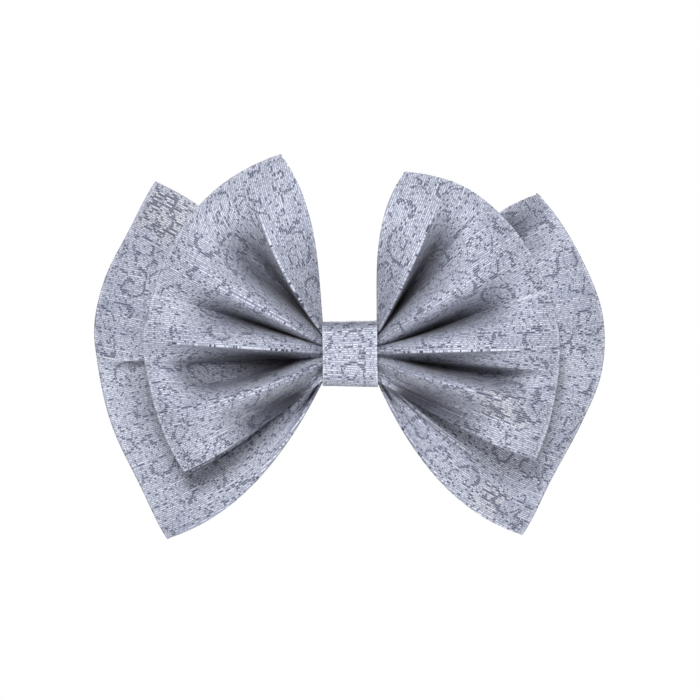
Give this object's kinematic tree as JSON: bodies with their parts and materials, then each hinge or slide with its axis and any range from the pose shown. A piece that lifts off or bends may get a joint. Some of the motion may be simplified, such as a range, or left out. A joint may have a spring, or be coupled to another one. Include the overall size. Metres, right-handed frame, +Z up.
{
  "type": "gift bow",
  "caption": "Pre-made double fabric gift bow, small bow on large bow with a centre band and a self-adhesive back.",
  "frame": {"origin": "centre of the adhesive face at the back of the bow, level with the middle of the waist", "axes": "+X along the bow towards its right wing as seen from the front, +Y out of the adhesive face into the gift, +Z up"},
  "size_m": [0.13, 0.029, 0.0965],
  "materials": {
    "jacquard": "silver-blue woven jacquard with a satin sheen and fine dark weft dashes",
    "thread": "twisted polyester sewing thread",
    "felt": "matte pressed felt",
    "foam_tape": "white closed-cell foam with a tacky acrylic adhesive face"
  },
  "bodies": {
    "root": {"rear_bow": "jacquard", "front_bow": "jacquard", "centre_band": "jacquard", "rear_waist_thread": "thread", "front_waist_thread": "thread", "band_stitches": "thread", "felt_backing": "felt", "adhesive_pad": "foam_tape"}
  },
  "joints": []
}
